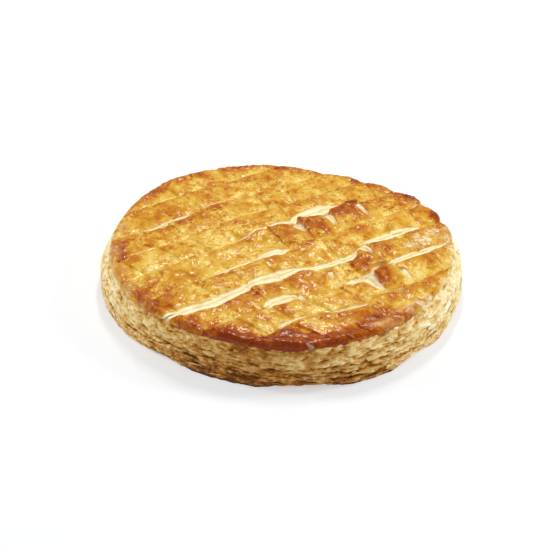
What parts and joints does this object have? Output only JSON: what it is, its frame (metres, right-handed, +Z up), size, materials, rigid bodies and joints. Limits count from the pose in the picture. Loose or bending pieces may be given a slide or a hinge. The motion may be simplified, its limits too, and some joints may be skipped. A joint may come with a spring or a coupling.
{
  "type": "galette des rois",
  "caption": "Round flat cake of puff pastry with a glazed golden top scored in a lattice of slanting cuts, some gaping, and a ragged layered side.",
  "frame": {"origin": "middle of the flat base, at its underside", "axes": "+Z up through the scored top; the long cuts run 34 degrees from +X towards +Y"},
  "size_m": [0.256, 0.2538, 0.0369],
  "materials": {
    "golden_crust": "baked puff pastry: glazed golden brown on top, pale and flaky at the side"
  },
  "bodies": {
    "root": {"galette": "golden_crust"}
  },
  "joints": []
}
